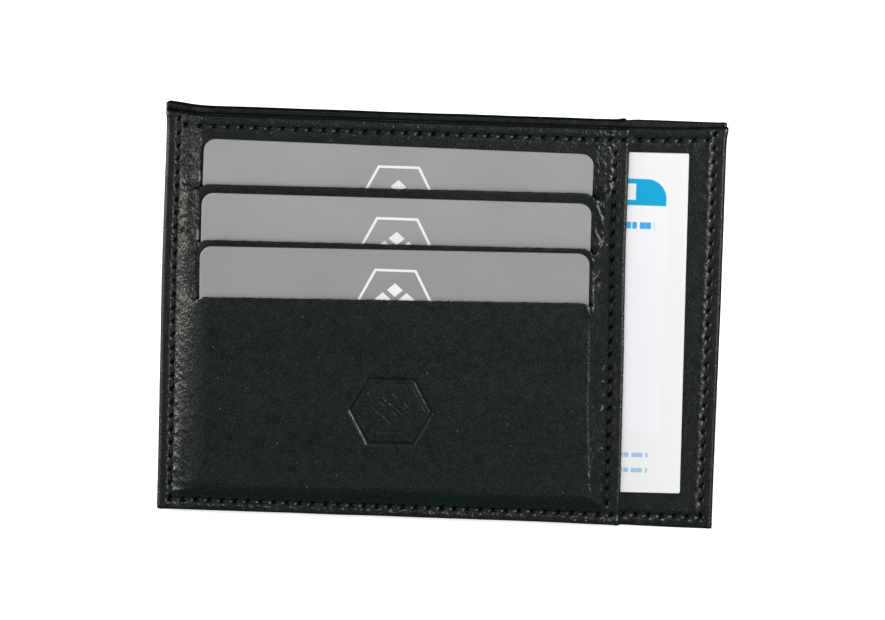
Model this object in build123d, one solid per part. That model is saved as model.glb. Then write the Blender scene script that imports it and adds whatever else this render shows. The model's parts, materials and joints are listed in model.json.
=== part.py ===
"""A flat leather card holder: a front unit and a rear unit sewn together along three sides.

Each unit is a base wall with turned edges round a board, and a narrower panel sewn on top of it. The panel
has three card slots, and its right edge is free, so a document slides in sideways between panel and base.
The space between the two units is a note compartment, open at the top. The front slots hold three cards and
the front document pocket holds one document card.

Row frame, in millimetres: +X right, +Z up, the front faces -Y. The origin is the bottom centre of the part.
Each unit is built in a local frame (x, s, z), where s is the distance outwards from its base's outer face.
"""

import math
import os

from build123d import *

# ---------------------------------------------------------------- driving dimensions

WIDTH = 122.0  # base walls, left edge to right edge
HEIGHT = 89.0  # front unit
REAR_RISE = 0.8  # the rear unit stands this much higher at the top
PANEL_WIDTH = 101.4  # card panels, flush with the base at the left
CORNER_R = 1.0
EDGE_R = 0.3  # rounding of the turned edges

LEATHER = 0.5
BOARD = 0.5
TEXTILE = 0.12
LINING = 0.15
CLEAR = 0.1  # between a card and what it slides past
TRIM = 0.05  # between a board's edge and the leather folded round it

BASE_HEM = 7.0  # width of the leather folded behind a base wall
MOUTH_HEM = 0.2  # thickness of the skived hem at the note compartment's mouth
PANEL_HEM = 4.2  # width of the leather folded behind a panel
PANEL_HEM_T = 0.33
POCKET_DEPTH = 0.95  # sideways document pocket, base wall to the panel's free edge

CARD_W, CARD_H, CARD_T, CARD_R = 85.6, 53.98, 0.76, 3.18  # the ID-1 format
DOC_W, DOC_H, DOC_T, DOC_R = 105.0, 75.0, 0.76, 0.4
DOC_SHOWS = 7.6  # base wall left bare to the right of the document
DOC_LIFT = 7.65  # document's lower edge above the holder's

SLOTS = 3
SLOT_1_Z = 73.3  # the uppermost slot's mouth
SLOT_PITCH = 11.9
CARD_1_TOP = 82.9
CARD_PITCH = 11.2
SLOT_SIDE = 0.4  # slot beyond the card's edge
SLOT_GAP = 0.3  # height of an empty slot's cut
CHEEK = 3.0  # height over which the panel's sides step down above a slot
SIDE_SLOPE = 3.4  # width of the sloping sides of the filled panel
FOOT_SLOPE = 1.4  # rise over run of the leather below a card's lower edge
DIVIDER_DROP = 1.0  # a divider's upper edge below the slot above it

SEAM_INSET = 2.6
EDGE_SEAM_INSET = 3.0
STITCH = 3.0
THREAD_W, THREAD_T = 0.4, 0.26
BOBBIN_T = 0.1
GROOVE_W, GROOVE_D = 0.6, 0.3
AWL_L, AWL_W = 0.9, 0.5  # a needle hole, along and across its seam
LEG_L = 0.3  # thread inside a needle hole, along the seam
BOTTOM_STITCH = 2.85
SIDE_SEAM_START = 0.5  # first hole of a side seam above the bottom seam
SIDE_SEAM_END = 1.5  # last hole of a side seam below the top edge
TOP_SEAM_GAP = 1.4  # end of a top seam to the side seam
EDGE_SEAM_START, EDGE_SEAM_END = 5.2, 5.8  # free-edge seam's ends above the bottom and below the top edge

# ---------------------------------------------------------------- worked-out sizes

LEFT, RIGHT = -WIDTH / 2, WIDTH / 2
PANEL_RIGHT = LEFT + PANEL_WIDTH
PANEL_MID = (LEFT + PANEL_RIGHT) / 2
REAR_HEIGHT = HEIGHT + REAR_RISE
BASE_T = 2 * LEATHER + BOARD  # at the hems, where the two units touch
BACKING_S = POCKET_DEPTH + PANEL_HEM_T  # rear face of the front panel's backing
PANEL_S = BACKING_S + TEXTILE  # rear face of a flat panel's leather
PANEL_T = PANEL_S + LEATHER  # a flat panel's outer face
SLOT_Z = [SLOT_1_Z - i * SLOT_PITCH for i in range(SLOTS)]
CARD_Z = [CARD_1_TOP - i * CARD_PITCH - CARD_H for i in range(SLOTS)]
SLOT_HALF = CARD_W / 2 + SLOT_SIDE


def fan_cards():
    """Each card's rear plane as (s at its lower edge, slope ds/dz). Each leans out over the one above it."""
    planes = []
    for i in range(SLOTS):
        if i == 0:
            low, mouth = PANEL_S, PANEL_T
        else:
            low = divider_s(planes[i - 1], CARD_Z[i - 1], CARD_Z[i]) + TEXTILE
            mouth = divider_s(planes[i - 1], CARD_Z[i - 1], SLOT_Z[i]) + TEXTILE + LEATHER
        slope = (mouth - low) / (SLOT_Z[i] - CARD_Z[i])
        planes.append((low + CLEAR, slope))
    return planes


def divider_s(plane, card_z, z):
    """Rear face at height z of the divider that hangs in front of the card with this rear plane."""
    low, slope = plane
    return low + slope * (z - card_z) + CARD_T + CLEAR


CARD_PLANES = fan_cards()


def leather_s(i, z):
    """Rear face at height z of the front panel's leather where it covers card i."""
    behind = TEXTILE if i < SLOTS - 1 else 0.0
    return divider_s(CARD_PLANES[i], CARD_Z[i], z) + behind


FRONT_S = leather_s(SLOTS - 1, SLOT_Z[-1]) + LEATHER  # the front unit's thickest place, at the lowest mouth
CARD_TOP_S = CARD_PLANES[-1][0] + CARD_PLANES[-1][1] * CARD_H + CARD_T
FRONT_EXTENT = BASE_T + max(FRONT_S, CARD_TOP_S)
REAR_EXTENT = BASE_T + PANEL_T
MID_Y = (FRONT_EXTENT - REAR_EXTENT) / 2  # where the two units touch

# ---------------------------------------------------------------- helpers


def block(x0, x1, s0, s1, z0, z1):
    """Box between the given limits."""
    return Pos((x0 + x1) / 2, (s0 + s1) / 2, (z0 + z1) / 2) * Box(x1 - x0, s1 - s0, z1 - z0)


def side_prism(points, x0, x1):
    """Extrudes an outline of (s, z) points from x0 to x1."""
    outline = Polyline([(x0, s, z) for s, z in points], close=True)
    return Solid.extrude(Face(Wire(outline.edges())), Vector(x1 - x0, 0, 0))


def top_prism(points, z0, z1):
    """Extrudes an outline of (x, s) points from z0 to z1."""
    outline = Polyline([(x, s, z0) for x, s in points], close=True)
    return Solid.extrude(Face(Wire(outline.edges())), Vector(0, 0, z1 - z0))


def turned_block(x0, x1, s0, s1, z1):
    """Block from z = 0 to z1 with rounded corners, and rounded edges on its outer face at s1."""
    body = block(x0, x1, s0, s1, 0, z1)
    body = fillet(body.edges().filter_by(Axis.Y), CORNER_R)
    return fillet(body.faces().sort_by(Axis.Y)[-1].edges(), EDGE_R)


def front(shape):
    """Places a unit's piece on the front side, where outwards is -Y."""
    return Pos(0, MID_Y - BASE_T, 0) * mirror(shape, about=Plane.XZ)


def rear(shape):
    """Places a unit's piece on the rear side, where outwards is +Y."""
    return Pos(0, MID_Y + BASE_T, 0) * shape


# ---------------------------------------------------------------- seams


def spread(start, end, pitch):
    """Evenly spaced places from start to end, about pitch apart."""
    count = round((end - start) / pitch)
    return [start + (end - start) * i / count for i in range(count + 1)]


SIDE_SEAM_X = RIGHT - SEAM_INSET
TOP_SEAM_X = SIDE_SEAM_X - TOP_SEAM_GAP


def top_seam(height):
    """Runs of a top seam, each (axis, fixed coordinate, places along the axis)."""
    return [("x", height - SEAM_INSET, spread(-TOP_SEAM_X, TOP_SEAM_X, STITCH))]


def side_seams():
    """The U-shaped perimeter seam: left side, bottom, right side."""
    up = spread(SEAM_INSET + SIDE_SEAM_START, HEIGHT - SIDE_SEAM_END, STITCH)
    along = spread(-SIDE_SEAM_X, SIDE_SEAM_X, BOTTOM_STITCH)
    return [("z", -SIDE_SEAM_X, up), ("x", SEAM_INSET, along), ("z", SIDE_SEAM_X, up)]


def edge_seam():
    """The seam along a panel's free right edge."""
    places = spread(EDGE_SEAM_START, HEIGHT - EDGE_SEAM_END, STITCH)
    return [("z", PANEL_RIGHT - EDGE_SEAM_INSET, places)]


def along_seam(axis, fixed, a0, a1, half, s0, s1):
    """Block lying along a seam run from a0 to a1, reaching half to each side of it."""
    if axis == "x":
        return block(a0, a1, s0, s1, fixed - half, fixed + half)
    return block(fixed - half, fixed + half, s0, s1, a0, a1)


def needle_holes(runs, s0, s1):
    """Cutters for the holes that a seam's thread passes through."""
    cutters = []
    for axis, fixed, places in runs:
        for a in places:
            cutters.append(along_seam(axis, fixed, a - AWL_L / 2, a + AWL_L / 2, AWL_W / 2, s0, s1))
    return cutters


def groove(runs, face_s, depth=GROOVE_D):
    """Cutters for the groove that sinks a seam's stitches below the face at face_s."""
    cutters = []
    for axis, fixed, places in runs:
        a0, a1 = places[0] - AWL_L / 2, places[-1] + AWL_L / 2
        cutters.append(along_seam(axis, fixed, a0, a1, GROOVE_W / 2, face_s - depth, face_s + depth))
    return cutters


def lockstitches(runs, outer, inner):
    """One closed loop of thread per stitch. outer and inner give s on each side of a place along a run."""
    loops = []
    gap = (AWL_L - 2 * LEG_L) / 6
    for axis, fixed, places in runs:
        for a, b in zip(places, places[1:]):
            point_a, point_b = ((a, fixed), (b, fixed)) if axis == "x" else ((fixed, a), (fixed, b))
            if outer(*point_a) != outer(*point_b) or inner(*point_a) != inner(*point_b):
                continue  # no stitch is drawn where the seam climbs onto the panel
            s1, s0 = outer(*point_a), inner(*point_a)
            a0, a1 = a + gap, b - gap
            ring = along_seam(axis, fixed, a0, a1, THREAD_W / 2, s0, s1)
            inside = along_seam(axis, fixed, a0 + LEG_L, a1 - LEG_L, THREAD_W, s0 + BOBBIN_T, s1 - THREAD_T)
            loops.append(ring - inside)
    return Compound(loops)


def face_at(x):
    """Outer surface of a stitch on a unit's outer face: on the panel, or on the bare base right of it."""
    sunk = (GROOVE_D - THREAD_T) / 2
    return (PANEL_T if x < PANEL_RIGHT else 0.0) - sunk


# ---------------------------------------------------------------- base walls


def base_wall(height):
    """Leather turned round a board on all four edges. The hem is skived thin at the compartment's mouth."""
    hem_s = -LEATHER - BOARD
    wall = turned_block(LEFT, RIGHT, -BASE_T, 0, height)
    wall -= block(LEFT + LEATHER, RIGHT - LEATHER, hem_s, -LEATHER, LEATHER, height - LEATHER)
    wall -= block(LEFT + BASE_HEM, RIGHT - BASE_HEM, -BASE_T, hem_s, BASE_HEM, height - BASE_HEM)
    wall -= block(LEFT + BASE_HEM, RIGHT - BASE_HEM, -BASE_T, hem_s - MOUTH_HEM, height - BASE_HEM, height)
    runs = side_seams() + top_seam(height)
    bare = block(PANEL_RIGHT, RIGHT, -GROOVE_D, 0, 0, height)
    wall -= [cutter & bare for cutter in groove(runs, 0)[1:]]
    wall -= groove(top_seam(height), -BASE_T, BASE_T + hem_s - MOUTH_HEM + BOBBIN_T)
    return wall - needle_holes(runs, -BASE_T, 0)


def base_board(height):
    """Stiffening board inside a base wall's turned edges."""
    inset = LEATHER + TRIM
    board = block(LEFT + inset, RIGHT - inset, -LEATHER - BOARD, -LEATHER, inset, height - inset)
    return board - needle_holes(side_seams() + top_seam(height), -BASE_T, 0)


def note_lining(height):
    """Textile glued inside the hem frame of a base wall, facing the note compartment."""
    inset = BASE_HEM + CLEAR
    s1 = -LEATHER - BOARD
    return block(LEFT + inset, RIGHT - inset, s1 - LINING, s1, inset, height - inset)


# ---------------------------------------------------------------- card panels


def panel_runs(height):
    """Every seam run that passes through a panel."""
    left, bottom, _ = side_seams()
    return [left, bottom] + top_seam(height) + edge_seam()


def flat_panel(height, backing_s):
    """A panel with turned edges. Its hem stands on the base wall on three sides and is free on the right."""
    body = turned_block(LEFT, PANEL_RIGHT, 0, PANEL_T, height)
    inner_right = PANEL_RIGHT - LEATHER
    low, high = PANEL_HEM, height - PANEL_HEM
    body -= block(LEFT + LEATHER, inner_right, PANEL_HEM_T, PANEL_S, LEATHER, height - LEATHER)
    body -= block(LEFT + PANEL_HEM, PANEL_RIGHT, 0, PANEL_HEM_T, low, high)
    body -= block(inner_right - CLEAR, PANEL_RIGHT, 0, backing_s - PANEL_HEM_T, low, high)
    body += block(PANEL_RIGHT - PANEL_HEM, inner_right, backing_s - PANEL_HEM_T, backing_s, low, high)
    return body


def finish_panel(body, height):
    """Cuts a panel's seam grooves and needle holes."""
    runs = panel_runs(height)
    cutters = groove(runs, PANEL_T) + needle_holes(runs, 0, PANEL_T)
    return body - cutters


def card_space(i):
    """Space for card i under the front panel's leather. Its mouth is open, its sides close above it."""
    low = CARD_Z[i] - SLOT_GAP
    foot = low - (leather_s(i, low) - PANEL_S) / FOOT_SLOPE
    foot = max(foot, PANEL_HEM + CLEAR)
    mouth = SLOT_Z[i]
    lower = [(PANEL_S, foot), (leather_s(i, low), low), (leather_s(i, mouth), mouth)]
    x0, x1 = PANEL_MID - SLOT_HALF, PANEL_MID + SLOT_HALF
    middle = side_prism(lower + [(PANEL_S, mouth)], x0, x1)
    cheek = lower + [(PANEL_S, mouth + CHEEK)]
    sides = [side_prism(cheek, x0 - SIDE_SLOPE, x0), side_prism(cheek, x1, x1 + SIDE_SLOPE)]
    return middle.fuse(*sides)


def filled_front_panel():
    """The front panel, pushed out in three steps by the cards behind it."""
    x0, x1 = PANEL_MID - SLOT_HALF, PANEL_MID + SLOT_HALF
    foot_l, foot_r = (x0 - SIDE_SLOPE, PANEL_S), (x1 + SIDE_SLOPE, PANEL_S)
    tent = top_prism([foot_l, (x0, FRONT_S), (x1, FRONT_S), foot_r], 0, HEIGHT)
    first, *others = [card_space(i) for i in range(SLOTS)]
    space = first.fuse(*others) & tent
    pushed_out = Pos(0, LEATHER, 0) * space
    body = flat_panel(HEIGHT, BACKING_S) + pushed_out
    return finish_panel(body - space, HEIGHT)


def flat_rear_panel():
    """The rear panel, empty, with a thin cut for each card slot."""
    body = flat_panel(REAR_HEIGHT, rear_backing_s())
    for z in SLOT_Z:
        body -= block(PANEL_MID - SLOT_HALF, PANEL_MID + SLOT_HALF, PANEL_S, PANEL_T, z, z + SLOT_GAP)
    return finish_panel(body, REAR_HEIGHT)


def rear_backing_s():
    """The rear backing lies deeper than the front one, to leave room for the flat dividers in front of it."""
    return PANEL_S - SLOTS * TEXTILE


def panel_board(height, backing_s):
    """Board strip inside a panel's hem along its left, bottom and top edges."""
    inset = LEATHER + TRIM
    outer = block(LEFT + inset, PANEL_RIGHT - inset, PANEL_HEM_T, backing_s, inset, height - inset)
    window = block(LEFT + PANEL_HEM, PANEL_RIGHT, 0, backing_s, PANEL_HEM, height - PANEL_HEM)
    return outer - window - needle_holes(panel_runs(height), 0, PANEL_T)


def panel_backing(height, backing_s):
    """Textile behind a panel. It closes the uppermost card pocket from the document pocket."""
    inset = LEATHER + TRIM
    sheet = block(LEFT + inset, PANEL_RIGHT - inset, backing_s, backing_s + TEXTILE, inset, height - inset)
    return sheet - needle_holes(panel_runs(height), 0, PANEL_T)


def front_divider(i):
    """Textile that hangs behind the leather above slot i, between card i - 1 and card i."""
    plane, card_z = CARD_PLANES[i - 1], CARD_Z[i - 1]
    low, high = CARD_Z[i] - TRIM, SLOT_Z[i - 1] - DIVIDER_DROP
    s_low, s_high = divider_s(plane, card_z, low), divider_s(plane, card_z, high)
    outline = [(s_low, low), (s_low + TEXTILE, low), (s_high + TEXTILE, high), (s_high, high)]
    half = SLOT_HALF - CLEAR
    return side_prism(outline, PANEL_MID - half, PANEL_MID + half)


def rear_divider(i):
    """The same divider in the empty rear panel, where it lies flat."""
    s0 = PANEL_S - (SLOTS - i) * TEXTILE
    half = SLOT_HALF - CLEAR
    high = SLOT_Z[i - 1] - DIVIDER_DROP
    return block(PANEL_MID - half, PANEL_MID + half, s0, s0 + TEXTILE, CARD_Z[i], high)


# ---------------------------------------------------------------- cards


def card(i):
    """Card i in its slot, leaning out by its own angle."""
    low, slope = CARD_PLANES[i]
    blank = extrude(Plane.XZ * RectangleRounded(CARD_W, CARD_H, CARD_R), -CARD_T)
    lean = Rot(-math.degrees(math.atan(slope)), 0, 0)
    return Pos(PANEL_MID, low, CARD_Z[i]) * lean * Pos(0, 0, CARD_H / 2) * blank


def document():
    """The document card in the front unit's sideways pocket."""
    blank = extrude(Plane.XZ * RectangleRounded(DOC_W, DOC_H, DOC_R), -DOC_T)
    middle = RIGHT - DOC_SHOWS - DOC_W / 2
    return Pos(middle, CLEAR / 2, DOC_LIFT + DOC_H / 2) * blank


# ---------------------------------------------------------------- assembly


def unit_seam(runs, inner_s):
    """Stitches of a seam that belongs to one unit, from its outer face to inner_s."""
    return lockstitches(runs, lambda x, z: face_at(x), lambda x, z: inner_s - BOBBIN_T)


def perimeter_seam():
    """Stitches through both units, in the front unit's local frame."""
    through = -2 * BASE_T
    return lockstitches(side_seams(), lambda x, z: face_at(x), lambda x, z: through - face_at(x))


def make_parts():
    """Every piece by its node's name, in the row frame."""
    mouth_s = -LEATHER - BOARD - MOUTH_HEM
    free_edge_s = POCKET_DEPTH
    rear_free_edge_s = rear_backing_s() - PANEL_HEM_T
    parts = {
        "front_panel": front(filled_front_panel()),
        "front_panel_board": front(panel_board(HEIGHT, BACKING_S)),
        "front_panel_backing": front(panel_backing(HEIGHT, BACKING_S)),
        "front_divider_middle": front(front_divider(1)),
        "front_divider_lower": front(front_divider(2)),
        "front_base_wall": front(base_wall(HEIGHT)),
        "front_base_board": front(base_board(HEIGHT)),
        "front_note_lining": front(note_lining(HEIGHT)),
        "rear_note_lining": rear(note_lining(REAR_HEIGHT)),
        "rear_base_board": rear(base_board(REAR_HEIGHT)),
        "rear_base_wall": rear(base_wall(REAR_HEIGHT)),
        "rear_panel": rear(flat_rear_panel()),
        "rear_panel_board": rear(panel_board(REAR_HEIGHT, rear_backing_s())),
        "rear_panel_backing": rear(panel_backing(REAR_HEIGHT, rear_backing_s())),
        "rear_divider_middle": rear(rear_divider(1)),
        "rear_divider_lower": rear(rear_divider(2)),
        "perimeter_seam": front(perimeter_seam()),
        "front_top_seam": front(unit_seam(top_seam(HEIGHT), mouth_s)),
        "rear_top_seam": rear(unit_seam(top_seam(REAR_HEIGHT), mouth_s)),
        "front_edge_seam": front(unit_seam(edge_seam(), free_edge_s)),
        "rear_edge_seam": rear(unit_seam(edge_seam(), rear_free_edge_s)),
        "upper_card": front(card(0)),
        "middle_card": front(card(1)),
        "lower_card": front(card(2)),
        "document_card": front(document()),
    }
    return parts


def main():
    os.makedirs("parts", exist_ok=True)
    for name, shape in make_parts().items():
        export_step(shape, f"parts/{name}.step")


if __name__ == "__main__":
    main()
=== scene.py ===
"""Looks of the leather card holder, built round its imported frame.

Lengths are in millimetres in each unit's local frame (x, s, z) until a mesh is made: s is the
distance outwards from the unit's base wall. Meshes are in metres, in the shared frame.
"""

import math

import json

import bpy
import numpy as np
from mathutils import Matrix, Vector


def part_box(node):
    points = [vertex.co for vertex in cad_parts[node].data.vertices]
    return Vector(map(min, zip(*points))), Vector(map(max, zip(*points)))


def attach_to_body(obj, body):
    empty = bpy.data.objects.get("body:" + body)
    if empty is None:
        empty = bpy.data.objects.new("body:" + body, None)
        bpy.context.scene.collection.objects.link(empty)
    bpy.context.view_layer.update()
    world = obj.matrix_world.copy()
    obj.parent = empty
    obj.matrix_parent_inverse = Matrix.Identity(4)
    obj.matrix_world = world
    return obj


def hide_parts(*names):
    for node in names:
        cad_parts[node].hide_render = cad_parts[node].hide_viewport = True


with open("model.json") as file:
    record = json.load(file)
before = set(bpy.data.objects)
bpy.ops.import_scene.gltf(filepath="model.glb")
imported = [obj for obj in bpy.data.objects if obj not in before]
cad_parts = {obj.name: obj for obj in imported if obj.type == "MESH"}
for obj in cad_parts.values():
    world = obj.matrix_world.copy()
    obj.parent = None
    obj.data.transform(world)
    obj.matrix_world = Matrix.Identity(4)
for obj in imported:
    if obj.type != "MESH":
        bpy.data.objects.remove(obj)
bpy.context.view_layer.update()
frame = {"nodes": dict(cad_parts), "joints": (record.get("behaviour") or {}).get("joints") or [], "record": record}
MM = 0.001
HOLDER = "holder"
CARDS = ["upper_card", "middle_card", "lower_card"]


def mm_box(node):
    """Lowest and highest corner of a CAD node in millimetres."""
    lo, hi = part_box(node)
    return np.array(lo) * 1000, np.array(hi) * 1000


# ---------------------------------------------------------------- sizes read from the frame

BASE_LO, BASE_HI = mm_box("front_base_wall")
REAR_HI = mm_box("rear_base_wall")[1]
PANEL_HI = mm_box("front_panel")[1]
REAR_PANEL_LO, REAR_PANEL_HI = mm_box("rear_panel")
LEFT, RIGHT = BASE_LO[0], BASE_HI[0]
HEIGHT, REAR_HEIGHT = BASE_HI[2], REAR_HI[2]
PANEL_RIGHT = PANEL_HI[0]
PANEL_MID = (LEFT + PANEL_RIGHT) / 2
FRONT_Y = BASE_LO[1]  # the front base wall's outer face
REAR_Y = REAR_HI[1]
BASE_T = BASE_HI[1] - BASE_LO[1]
PANEL_T = REAR_PANEL_HI[1] - REAR_PANEL_LO[1]
POCKET = 0.95  # depth of the sideways pocket at the panel's free edge
LEATHER = 0.5
SHEET = 0.42  # modelled leather, a little thinner so that it clears what it wraps
DEEPEST = 0.45  # how far a needle hole sinks before it meets the board
CARD_T = 0.76
CLEAR = 0.1
TEXTILE = 0.12
CARD_HALF = 42.8
SLOT_END = 43.5  # half-length of a slot, ends included
SLOT_1 = mm_box("front_divider_middle")[1][2] + 1.0
SLOT_2 = mm_box("front_divider_lower")[1][2] + 1.0
SLOTS = [SLOT_1, SLOT_2, 2 * SLOT_2 - SLOT_1]
STITCH = 3.0
BOTTOM_STITCH = 2.85
GROOVE = 0.16  # how deep a seam's groove is pressed into the leather


def card_plane(name):
    """Rear plane of a card: (s at its lower edge, height of that edge, ds/dz)."""
    lo, hi = mm_box(name)
    axis = next(j["axis"] for j in frame["joints"] if j["child"] == name)
    return FRONT_Y - hi[1], lo[2], -axis[1] / axis[2]


PLANES = [card_plane(name) for name in CARDS]

# ---------------------------------------------------------------- small numeric helpers


def smooth(t):
    t = np.clip(t, 0.0, 1.0)
    return t * t * (3 - 2 * t)


def bell(t, width=1.0):
    """A soft swell: 1 where t is 0, dying away over the width on both sides."""
    return np.exp(-((t / width) ** 2))


class Noise:
    """Seeded value noise in the plane, smooth and repeatable."""

    def __init__(self, seed):
        self.table = np.random.RandomState(seed).rand(256, 256)

    def __call__(self, x, z, size):
        u, v = np.asarray(x) / size + 1000.0, np.asarray(z) / size + 1000.0
        iu, iv = np.floor(u).astype(int), np.floor(v).astype(int)
        fu, fv = smooth(u - iu), smooth(v - iv)
        t = self.table
        a, b = t[iu % 256, iv % 256], t[(iu + 1) % 256, iv % 256]
        c, d = t[iu % 256, (iv + 1) % 256], t[(iu + 1) % 256, (iv + 1) % 256]
        return ((a * (1 - fu) + b * fu) * (1 - fv) + (c * (1 - fu) + d * fu) * fv) * 2 - 1

    def flow(self, x, z, size, angle, stretch):
        """Noise drawn out along a direction, angle in degrees from +X."""
        c, s = math.cos(math.radians(angle)), math.sin(math.radians(angle))
        return self((x * c + z * s) / stretch, -x * s + z * c, size)


NOISE = Noise(7)

# ---------------------------------------------------------------- seams


class Run:
    """One straight run of needle holes: along 'x' or 'z', at a fixed other coordinate."""

    def __init__(self, axis, fixed, start, end, pitch, inner, gather=0.2):
        self.axis, self.fixed, self.inner, self.gather = axis, fixed, inner, gather
        count = max(1, round((end - start) / pitch))
        self.start, self.end, self.pitch = start, end, (end - start) / count
        self.places = [start + self.pitch * i for i in range(count + 1)]

    def split(self, x, z):
        return (x, z - self.fixed) if self.axis == "x" else (z, x - self.fixed)

    def point(self, a):
        return (a, self.fixed) if self.axis == "x" else (self.fixed, a)

    def relief(self, x, z, seed):
        """(height change, pit mask) on a sheet sewn by this run. The pit mask covers the needle holes and the
        seam's groove, which the leather's material darkens as painted shade.
        """
        a, across = self.split(x, z)
        within = smooth((a - self.start + 1.2) / 1.2) * smooth((self.end + 1.2 - a) / 1.2)
        phase = (a - self.start) / self.pitch
        nearest = np.clip(np.round(phase), 0, len(self.places) - 1)
        da = a - (self.start + nearest * self.pitch)
        vary = 0.75 + 0.25 * np.sin(nearest * 12.9898 + seed) + 0.25 * np.sin(nearest * 4.1414 + 2 * seed)
        groove = -GROOVE * bell(across, 0.75) * within
        between = 0.5 - 0.5 * np.cos(2 * math.pi * (phase - 0.5))
        outside = bell(across * self.inner + 0.85, 0.38)
        inside = bell(across * self.inner - 1.0, 0.5)
        ragged = 1 + 0.9 * NOISE(x + 3 * seed, z, 0.7)
        pucker = self.gather * (0.65 * outside + inside * ragged) * between * vary * within
        slant = da * 0.966 + across * 0.259
        cross = -da * 0.259 + across * 0.966
        pit = np.exp(-((slant / 0.66) ** 4 + (cross / 0.33) ** 4)) * within
        # painted shade along the seam's groove
        shade = 0.42 * bell(across, 0.3) * within
        near = bell(da) * bell(across, 0.85) * within
        return groove + pucker - 0.5 * pit - 0.12 * near * vary, np.maximum(pit, shade)


PERIMETER_LO, PERIMETER_HI = mm_box("perimeter_seam")
TOP_LO, TOP_HI = mm_box("front_top_seam")
REAR_TOP_LO, REAR_TOP_HI = mm_box("rear_top_seam")
EDGE_LO, EDGE_HI = mm_box("front_edge_seam")
SIDE_X = PERIMETER_HI[0] - 0.2
BOTTOM_Z = PERIMETER_LO[2] + 0.2
SIDE_RUN = (BOTTOM_Z + 0.5, PERIMETER_HI[2] + 0.05)
TOP_SPAN = (TOP_LO[0] - 0.05, TOP_HI[0] + 0.05)
EDGE_SPAN = (EDGE_LO[2] - 0.05, EDGE_HI[2] + 0.05)
LEFT_RUN = Run("z", -SIDE_X, *SIDE_RUN, STITCH, 1)
RIGHT_RUN = Run("z", SIDE_X, *SIDE_RUN, STITCH, -1, 0.12)
BOTTOM_RUN = Run("x", BOTTOM_Z, -SIDE_X, SIDE_X, BOTTOM_STITCH, -1)
TOP_RUN = Run("x", (TOP_LO[2] + TOP_HI[2]) / 2, *TOP_SPAN, STITCH, -1, 0.08)
REAR_TOP_RUN = Run("x", (REAR_TOP_LO[2] + REAR_TOP_HI[2]) / 2, *TOP_SPAN, STITCH, -1, 0.08)
EDGE_RUN = Run("z", (EDGE_LO[0] + EDGE_HI[0]) / 2, *EDGE_SPAN, STITCH, -1)


def sewn(runs, x, z, seed=0.0):
    """Summed relief and pit mask of several runs."""
    height, pits = np.zeros_like(x), np.zeros_like(x)
    for i, run in enumerate(runs):
        h, p = run.relief(x, z, seed + 1.7 * i)
        height += h
        pits = np.maximum(pits, p)
    return height, pits


# ---------------------------------------------------------------- leather sheets


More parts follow.
